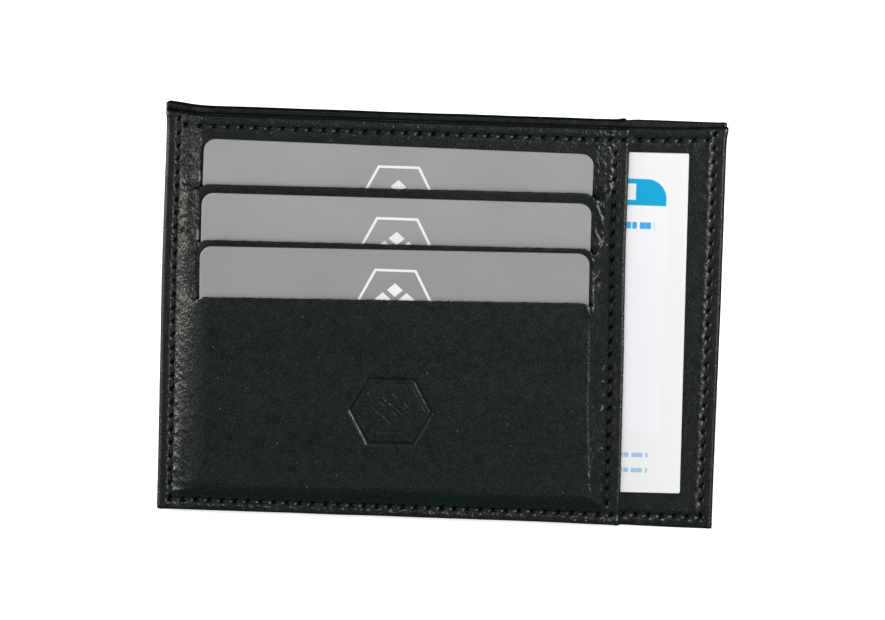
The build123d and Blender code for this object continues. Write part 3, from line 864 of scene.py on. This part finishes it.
def leather_material():
    """Black leather: fine pebbles with painted shade in the grooves between them, short slanting creases, paler
    peaks that are partly wear and partly painted highlight, needle holes and seam grooves darkened as painted
    shade, and a few specks of dust.
    """
    g = Graph("grained_leather")
    vector, _ = g.coords()
    raised, pit = g.attribute("raised"), g.attribute("pit")
    waver = g.node("ShaderNodeTexNoise", Vector=vector, Scale=1.1, Detail=3.0)
    bent = g.node("ShaderNodeVectorMath", operation="MULTIPLY_ADD")
    g.set(bent.inputs[0], waver.outputs["Color"])
    bent.inputs[1].default_value = (0.4, 0.4, 0.4)
    g.set(bent.inputs[2], vector)
    slanted = g.mapped(bent.outputs[0], rotation=(0, 26, 0), scale=(1.2, 1.2, 0.8))
    pebbles = g.voronoi(slanted, 1.2, "DISTANCE_TO_EDGE", Randomness=0.85).ramp(0.0, 0.32)
    shifted = g.mapped(bent.outputs[0], location=(3, 1, 8))
    small = g.voronoi(shifted, 2.8, "DISTANCE_TO_EDGE").ramp(0.0, 0.22)
    creases = (g.noise(slanted, 1.5, 3.0, 0.6, 0.4) - 0.5).abs().ramp(0.0, 0.12)
    hair = g.noise(vector, 6.0, 3.0, 0.6)
    grain = pebbles * 0.8 + small * 0.22 + creases * 0.16 + hair * 0.06
    patches = g.noise(vector, 0.3, 2.0).ramp(0.35, 0.65, 0.78, 1.02)
    height = grain * patches * raised.ramp(0.15, 1.0, 0.2, 1.5)
    normal = g.bump(height, 0.11, 1.0)
    mottling = g.noise(vector, 0.12, 4.0, 0.6).ramp(0.35, 0.7)
    peaks = grain.ramp(0.6, 1.1)
    dyed = g.mix(mottling, (0.0050, 0.0101, 0.0101, 1), (0.0056, 0.0108, 0.0108, 1))
    # painted shade: the grooves between the pebbles are darker than the pebbles' tops
    groove_shaded = g.mix(pebbles, (0.0020, 0.0048, 0.0049, 1), dyed)
    # paler peaks where the grain is crumpled: partly wear, partly painted highlight
    wear_and_highlight = g.mix(peaks * raised.ramp(0.3, 0.95) * 0.25, groove_shaded, (0.034, 0.033, 0.030, 1))
    # painted shade: pits darkened towards near black, in needle holes, seam grooves and slot ends, and partly in
    # the embossed mark
    hole = g.mix(pit.ramp(0.25, 0.7), wear_and_highlight, (0.0012, 0.0012, 0.0012, 1))
    dust = g.voronoi(g.mapped(vector, location=(1, 5, 2)), 0.33, "F1").ramp(0.03, 0.045, 1, 0)
    dusted = g.mix(dust * (pit * -1.0 + 1.0), hole, (0.10, 0.10, 0.095, 1))
    rough = g.noise(vector, 0.5, 4.0, 0.6).ramp(0.3, 0.7, 0.29, 0.37) - peaks * 0.03
    edge_paint = g.facing()[2].ramp(0.3, 0.7, 1.0, 0.0)  # edges that face up are dull
    specular = pit.ramp(0.2, 0.7, 0.5, 0.02) * edge_paint
    g.out(Base_Color=dusted, Roughness=rough, Specular_IOR_Level=specular, Normal=normal)
    return g.material


def thread_material():
    g = Graph("waxed_thread")
    vector, _ = g.coords()
    fibres = g.noise(g.mapped(vector, rotation=(0, 35, 0), scale=(3, 3, 14)), 1.6, 3.0, 0.6)
    shade = g.mix(g.noise(vector, 1.2, 2.0), (0.006, 0.0066, 0.0068, 1), (0.016, 0.0165, 0.016, 1))
    g.out(Base_Color=shade, Roughness=0.55, Specular_IOR_Level=0.3, Normal=g.bump(fibres, 0.03, 0.6))
    return g.material


def textile_material():
    g = Graph("lining_textile")
    _, (x, _, z) = g.coords()
    warp = (x * 14.0).op("SINE")
    weft = (z * 14.0).op("SINE")
    weave = warp * weft
    shade = g.mix(weave.ramp(-1, 1), (0.012, 0.012, 0.013, 1), (0.03, 0.03, 0.031, 1))
    g.out(Base_Color=shade, Roughness=0.85, Specular_IOR_Level=0.2, Normal=g.bump(weave, 0.04, 0.7))
    return g.material


def board_material():
    """Fibre board dyed black, seen only through the narrow gaps at the edges."""
    g = Graph("stiffening_board")
    vector, _ = g.coords()
    fibre = g.noise(vector, 2.5, 5.0, 0.65)
    shade = g.mix(fibre, (0.008, 0.009, 0.009, 1), (0.016, 0.017, 0.017, 1))
    g.out(Base_Color=shade, Roughness=0.9, Normal=g.bump(fibre, 0.05, 0.5))
    return g.material


def hexagon_value(x, z, half_w, half_h):
    """The hexagon of the embossed mark, as values of a node tree."""
    nx, nz = hexagon_slant(half_w, half_h)
    return (z.abs() - half_h).max(x.abs() * nx + z.abs() * nz - nx * half_w)


def lozenge_value(x, z, size):
    """The mark's lozenges, as values of a node tree."""
    best = None
    for a, b in LOZENGES:
        d = (x - a * size * 1.25).abs() * (1 / 1.15) + (z - b * size).abs() - size * 0.72
        best = d if best is None else best.min(d)
    return best


def card_material(name, tone):
    """Grey plastic card printed with a white hexagon and lozenges. tone scales the grey, and is below 1 on the
    lowest card as painted shade.
    """
    g = Graph(name + "_plastic")
    card_top = mm_box(name)[1][2]
    half_w, half_h, margin = 8.2, 7.0, 4.2
    vector, (x, _, z) = g.coords()
    ex, ez = x - float(PANEL_MID), z - float(card_top - margin - half_h)
    d = hexagon_value(ex, ez, half_w, half_h)
    ring = (d + 0.33).abs().ramp(0.20, 0.34, 1, 0)
    figure = lozenge_value(ex, ez - 0.2, 2.1).ramp(-0.06, 0.06, 1, 0)
    front = g.facing()[1].ramp(-0.9, -0.5, 1, 0)
    low, high = ([v * tone for v in grey] + [1] for grey in ((0.174, 0.184, 0.201), (0.186, 0.195, 0.213)))
    shade = g.mix(g.noise(vector, 0.05, 2.0).ramp(0.3, 0.7), low, high)
    edge = g.mix(front, (0.36, 0.36, 0.37, 1), shade)
    colour = g.mix(ring.max(figure) * front, edge, (0.50, 0.507, 0.53, 1))
    speckle = g.noise(vector, 9.0, 2.0)
    rough = g.noise(vector, 0.2, 3.0).ramp(0.3, 0.7, 0.42, 0.5)
    g.out(Base_Color=colour, Roughness=rough, Specular_IOR_Level=0.35, Normal=g.bump(speckle, 0.006, 0.5))
    return g.material


def document_material():
    """White card printed with a blue heading block, a pale panel and plain bars."""
    g = Graph("document_plastic")
    lo, hi = mm_box("document_card")
    vector, (x, _, z) = g.coords()
    right, bottom = float(hi[0]), float(lo[2])

    def box_mask(x0, x1, z0, z1, soft=0.06):
        dx = (x - (x0 + x1) / 2).abs() - (x1 - x0) / 2
        dz = (z - (z0 + z1) / 2).abs() - (z1 - z0) / 2
        return dx.max(dz).ramp(-soft, soft, 1, 0)

    head_x0, head_x1 = right - 100.0, right - 4.95
    head_z0, head_z1 = bottom + 63.75, bottom + 69.65
    radius = 4.4
    dx, dz = (x - head_x1 + radius).max(0.0), (z - head_z1 + radius).max(0.0)
    corner = (dx * dx + dz * dz).op("SQRT").ramp(radius - 0.06, radius + 0.06, 1, 0)
    head = box_mask(head_x0, head_x1, head_z0, head_z1) * corner
    panel = box_mask(head_x0, right - 4.5, bottom + 13.6, head_z0 - 0.1, 0.25)
    colour = g.mix(panel, (0.495, 0.519, 0.545, 1), (0.505, 0.53, 0.575, 1))
    colour = g.mix(head, colour, (0.001, 0.232, 0.433, 1))
    badge = box_mask(right - 13.6, right - 11.7, head_z0 + 1.2, head_z1 - 1.1)
    colour = g.mix(badge, colour, (0.495, 0.519, 0.545, 1))
    for bar_z, bar_x0, bar_x1, tall, blue in (
        (bottom + 59.3, right - 60.0, right - 7.4, 1.5, (0.03, 0.24, 0.50, 1)),
        (bottom + 8.1, right - 98.0, right - 7.0, 1.0, (0.22, 0.33, 0.50, 1)),
        (bottom + 4.7, right - 98.0, right - 7.0, 1.0, (0.22, 0.33, 0.50, 1)),
    ):
        bar = box_mask(bar_x0, bar_x1, bar_z - tall / 2, bar_z + tall / 2, 0.12)
        dashes = ((x * 4.1).op("SINE") + (x * 1.9).op("SINE") * 0.5).ramp(-0.75, -0.45)
        colour = g.mix(bar * dashes, colour, blue)
    frame_box = box_mask(right - 97, right - 70, bottom + 20, bottom + 56)
    colour = g.mix(frame_box, colour, (0.62, 0.68, 0.76, 1))
    for k in range(4):
        low = bottom + 50 - 8 * k
        bar = box_mask(right - 64, right - 24 - 6 * (k % 2), low, low + 1.2, 0.12)
        colour = g.mix(bar, colour, (0.35, 0.47, 0.63, 1))
    sheen = g.noise(vector, 0.15, 3.0).ramp(0.3, 0.7, 0.3, 0.42)
    tooth = g.noise(vector, 8.0, 2.0)
    g.out(Base_Color=colour, Roughness=sheen, Specular_IOR_Level=0.12, Normal=g.bump(tooth, 0.005, 0.5))
    return g.material


MATERIALS = {
    "leather": leather_material(),
    "thread": thread_material(),
    "lining": textile_material(),
    "board": board_material(),
}

# ---------------------------------------------------------------- build the leather


def leather_piece(name, node, **settings):
    attach(Sheet(name, **settings).object, MATERIALS["leather"], HOLDER, node)


FINE, COARSE, HIDDEN = ((0.17, 0.3, 1.2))  # grid steps

leather_piece(
    "front_panel_leather", "front_panel", x1=PANEL_RIGHT, z1=HEIGHT,
    fine_x=[(-53, FINE), (PANEL_MID - 10.5, COARSE), (PANEL_MID + 10.5, FINE), (32, COARSE), (RIGHT, FINE)],
    fine_z=[(5, FINE), (EMBOSS_Z - 9, COARSE), (EMBOSS_Z + 9, FINE), (HEIGHT - 5, COARSE), (HEIGHT, FINE)],
    surface=front_panel_surface, floor=lambda x, z: panel_floor(x, z, HEIGHT), hem=4.0, slots=SLOTS,
    to_y=front_y, warp=front_panel_warp,
)
leather_piece(
    "rear_panel_leather", "rear_panel", x1=PANEL_RIGHT, z1=REAR_HEIGHT,
    fine_x=[(-53, FINE), (33, COARSE), (RIGHT, FINE)],
    fine_z=[(5, FINE), (HEIGHT - 5, COARSE), (REAR_HEIGHT, FINE)],
    surface=rear_panel_surface, floor=lambda x, z: 0.75 * panel_floor(x, z, REAR_HEIGHT), hem=4.0,
    slots=SLOTS, to_y=rear_y, warp=rear_panel_warp,
)


def base_floor(height):
    """Underside of a base wall's turned edge: on the other unit, or skived at the compartment's mouth."""
    return lambda x, z: -BASE_T + 0.3 * smooth((z - height + 2.0) / 1.0) * smooth((54.5 - np.abs(x)) / 1.5)


for unit, height, run, seed, to_y, warp in (
    ("front_base", HEIGHT, TOP_RUN, 2.0, front_y, front_base_warp),
    ("rear_base", REAR_HEIGHT, REAR_TOP_RUN, 4.0, rear_y, rear_base_warp),
):
    leather_piece(
        unit + "_leather", unit + "_wall", x1=RIGHT, z1=height,
        fine_x=[(PANEL_RIGHT - 3, HIDDEN), (54, COARSE), (RIGHT, FINE)], fine_z=[(height, COARSE)],
        surface=base_surface(run, seed), floor=base_floor(height), hem=6.8, to_y=to_y, warp=warp,
    )

# ---------------------------------------------------------------- build the seams

THREAD_SINK = 0.02
FRONT_WARPS, REAR_WARPS = (front_panel_warp, front_base_warp), (rear_panel_warp, rear_base_warp)


def face_s(x, z, step_x=PANEL_RIGHT - 0.2):
    """Where a stitch's thread lies on a unit's outer face, in its groove."""
    return (PANEL_T if x < step_x else 0.0) - GROOVE - THREAD_SINK


def rear_top_s(x, z):
    """The same along the rear unit's top edge, where the leaning panel ends sooner."""
    return face_s(x, z, PANEL_RIGHT - 1.4)


def rear_face_s(x, z):
    """The rear unit's outer face, measured in the front unit's frame."""
    return -2 * BASE_T - face_s(x, z)


make_seam("perimeter", [LEFT_RUN, BOTTOM_RUN, RIGHT_RUN], face_s, rear_face_s, front_y, FRONT_WARPS)
MOUTH_S = -1.05  # inner face of a unit at the compartment's mouth
for seam, run, outer, inner_s, to_y, warps in (
    ("front_top", TOP_RUN, face_s, MOUTH_S, front_y, FRONT_WARPS),
    ("rear_top", REAR_TOP_RUN, rear_top_s, MOUTH_S, rear_y, REAR_WARPS),
    ("front_edge", EDGE_RUN, face_s, 1.25, front_y, FRONT_WARPS),
    ("rear_edge", EDGE_RUN, face_s, 1.0, rear_y, REAR_WARPS),
):
    make_seam(seam, [run], outer, lambda x, z: inner_s, to_y, warps)

# ---------------------------------------------------------------- build the cards


def plate(node, width, height, radius, centre_x, low_z, low_s, slope, turn, material):
    """A thin card with rounded corners and softened edges, leaning by its slope and turned in its plane."""
    thick, bevel, steps = CARD_T, 0.09, 10
    corners = []
    for qx, qz, start in ((1, 1, 0), (-1, 1, 90), (-1, -1, 180), (1, -1, 270)):
        for i in range(steps + 1):
            a = math.radians(start + 90 * i / steps)
            corners.append((qx, qz, math.cos(a), math.sin(a)))
    cx, cz, nx, nz = np.array(corners).T
    cx, cz = cx * (width / 2 - radius), cz * (height / 2 - radius)
    quarter = [math.pi / 2 * i / 3 for i in range(4)]
    rings = [(bevel * (1 - math.sin(a)), thick - bevel * (1 - math.cos(a))) for a in quarter]
    rings += [(bevel * (1 - math.cos(a)), bevel * (1 - math.sin(a))) for a in quarter]
    px = np.concatenate([cx + nx * (radius - inset) for inset, _ in rings])
    pz = np.concatenate([cz + nz * (radius - inset) for inset, _ in rings])
    out = np.repeat([level for _, level in rings], len(cx))
    n = len(cx)
    faces = [tuple(range(n)), tuple(range(len(px) - 1, len(px) - n - 1, -1))]
    for r in range(0, len(px) - n, n):
        for i in range(n):
            j = (i + 1) % n
            faces.append((r + j, r + n + j, r + n + i, r + i))
    lean, turn = math.atan(slope), math.radians(turn)
    across = px * math.cos(turn) - pz * math.sin(turn)
    up = height / 2 + pz * math.cos(turn) + px * math.sin(turn)
    s = low_s + up * math.sin(lean) + out * math.cos(lean)
    z = low_z + up * math.cos(lean) - out * math.sin(lean)
    obj = mesh_object(node + "_printed", np.stack([centre_x + across, FRONT_Y - s, z], 1), faces)
    obj.data.set_sharp_from_angle(angle=math.radians(35))
    attach(obj, material, node, node)


# the lowest card's grey is darker: painted shade
CARD_POSES = [(-0.4, -0.3, 1.0), (0.3, -0.1, 1.0), (0.85, 0.1, 0.905)]  # turn, shift in x, tone of grey
for card, (low_s, low_z, slope), (turn, shift, tone) in zip(CARDS, PLANES, CARD_POSES):
    plate(
        card, 85.2, 53.98, 2.6, PANEL_MID + shift, low_z, low_s, slope, turn,
        card_material(card, tone),
    )
DOC_LO, DOC_HI = mm_box("document_card")
DOC_SIZE, DOC_MID = DOC_HI - DOC_LO, (DOC_LO + DOC_HI) / 2
plate(
    "document_card", DOC_SIZE[0], DOC_SIZE[2] + 0.75, 0.4, DOC_MID[0], DOC_LO[2] - 0.72,
    FRONT_Y - DOC_HI[1], 0.0, 0.59, document_material(),
)

# ---------------------------------------------------------------- finishes of the carried-over pieces

for entry in frame["record"]["subparts"]:
    kind = entry["material_slot"]
    if kind in ("board", "lining"):
        node = frame["nodes"][entry["node"]]
        node.data.materials.clear()
        node.data.materials.append(MATERIALS[kind])

# ---------------------------------------------------------------- floor, light, camera


def stage_material():
    g = Graph("pale_floor")
    vector, _ = g.coords()
    tone = g.noise(vector, 0.01, 3.0)
    g.out(
        Base_Color=g.mix(tone, (0.90, 0.90, 0.90, 1), (0.93, 0.93, 0.93, 1)), Roughness=0.9,
        Specular_IOR_Level=0.1, Emission_Color=(1, 1, 1, 1), Emission_Strength=0.75,
    )
    return g.material


REACH = 40000.0  # half-width of the floor
ends = (-REACH, REACH)
floor = mesh_object("floor", [(x, y, -HANG) for y in ends for x in ends], [(0, 1, 3, 2)])
floor.data.materials.append(stage_material())
floor.visible_glossy = False

world = bpy.data.worlds.new("studio")
bpy.context.scene.world = world
world.use_nodes = True
tree = world.node_tree
background = next(n for n in tree.nodes if n.type == "BACKGROUND")
background.inputs["Color"].default_value = (0.93, 1.0, 1.0, 1)
rays = tree.nodes.new("ShaderNodeLightPath")


def strength_for(ray, strength):
    """Node that gives the strength to one kind of ray and its 'To Min' to all others."""
    node = tree.nodes.new("ShaderNodeMapRange")
    tree.links.new(rays.outputs[ray], node.inputs[0])
    node.inputs["To Max"].default_value = strength
    return node


glossy, seen = strength_for("Is Glossy Ray", 0.05), strength_for("Is Camera Ray", 1.2)
glossy.inputs["To Min"].default_value = 0.42
tree.links.new(glossy.outputs[0], seen.inputs["To Min"])
tree.links.new(seen.outputs[0], background.inputs["Strength"])


def towards(azimuth, elevation):
    """Unit vector from the holder outwards, angles in degrees; azimuth 0 is straight in front."""
    a, e = math.radians(azimuth), math.radians(elevation)
    return np.array([math.sin(a) * math.cos(e), -math.cos(a) * math.cos(e), math.sin(e)])


def softbox(name, direction, distance, size, power, colour=(1, 1, 1)):
    """Area light looking at the holder from a direction given as (azimuth, elevation)."""
    back = towards(*direction)
    light = bpy.data.lights.new(name, "AREA")
    light.shape = "RECTANGLE"
    light.size, light.size_y = size
    light.energy, light.color = power, colour
    obj = bpy.data.objects.new(name, light)
    obj.location = back * distance + np.array([0, 0, 0.045])
    obj.rotation_mode = "QUATERNION"
    obj.rotation_quaternion = Vector(-back).to_track_quat("-Z", "Y")
    bpy.context.scene.collection.objects.link(obj)


softbox("key_left", (-86, 10), 0.95, (0.60, 0.42), 10.2, (1.0, 0.92, 0.83))
softbox("fill_left", (-46, 8), 0.95, (0.52, 0.36), 1.5, (1.0, 0.95, 0.89))
softbox("key_right", (36, 10), 0.95, (0.28, 0.40), 7.2, (1.0, 0.92, 0.83))
softbox("top", (-10, 66), 1.0, (0.9, 0.4), 0.35)
softbox("back", (-158, 8), 1.2, (0.8, 0.5), 5.0)

# viewing angle: nearly straight on, 10 degrees above the horizontal, rolled a little, long lens
ROLL = math.radians(1.88)
DISTANCE = 1.724
camera_data = bpy.data.cameras.new("camera")
camera = bpy.data.objects.new("camera", camera_data)
bpy.context.scene.collection.objects.link(camera)
bpy.context.scene.camera = camera
camera_data.sensor_width = 36.0
camera_data.lens = 319.021
back = towards(0.45, 10.0)
target = np.array([0.0002, (FRONT_Y + BASE_T) * MM, 0.04626])
right_axis = np.cross(-back, [0, 0, 1])
right_axis /= np.linalg.norm(right_axis)
up_axis = np.cross(right_axis, -back)
cam_right = right_axis * math.cos(ROLL) + up_axis * math.sin(ROLL)
cam_up = -right_axis * math.sin(ROLL) + up_axis * math.cos(ROLL)
place = target + back * DISTANCE
camera.matrix_world = Matrix.Translation(place) @ Matrix((cam_right, cam_up, back)).transposed().to_4x4()
camera_data.clip_start, camera_data.clip_end = 0.05, 100.0

bpy.context.scene.view_settings.view_transform = "Standard"
bpy.context.scene.view_settings.look = "None"
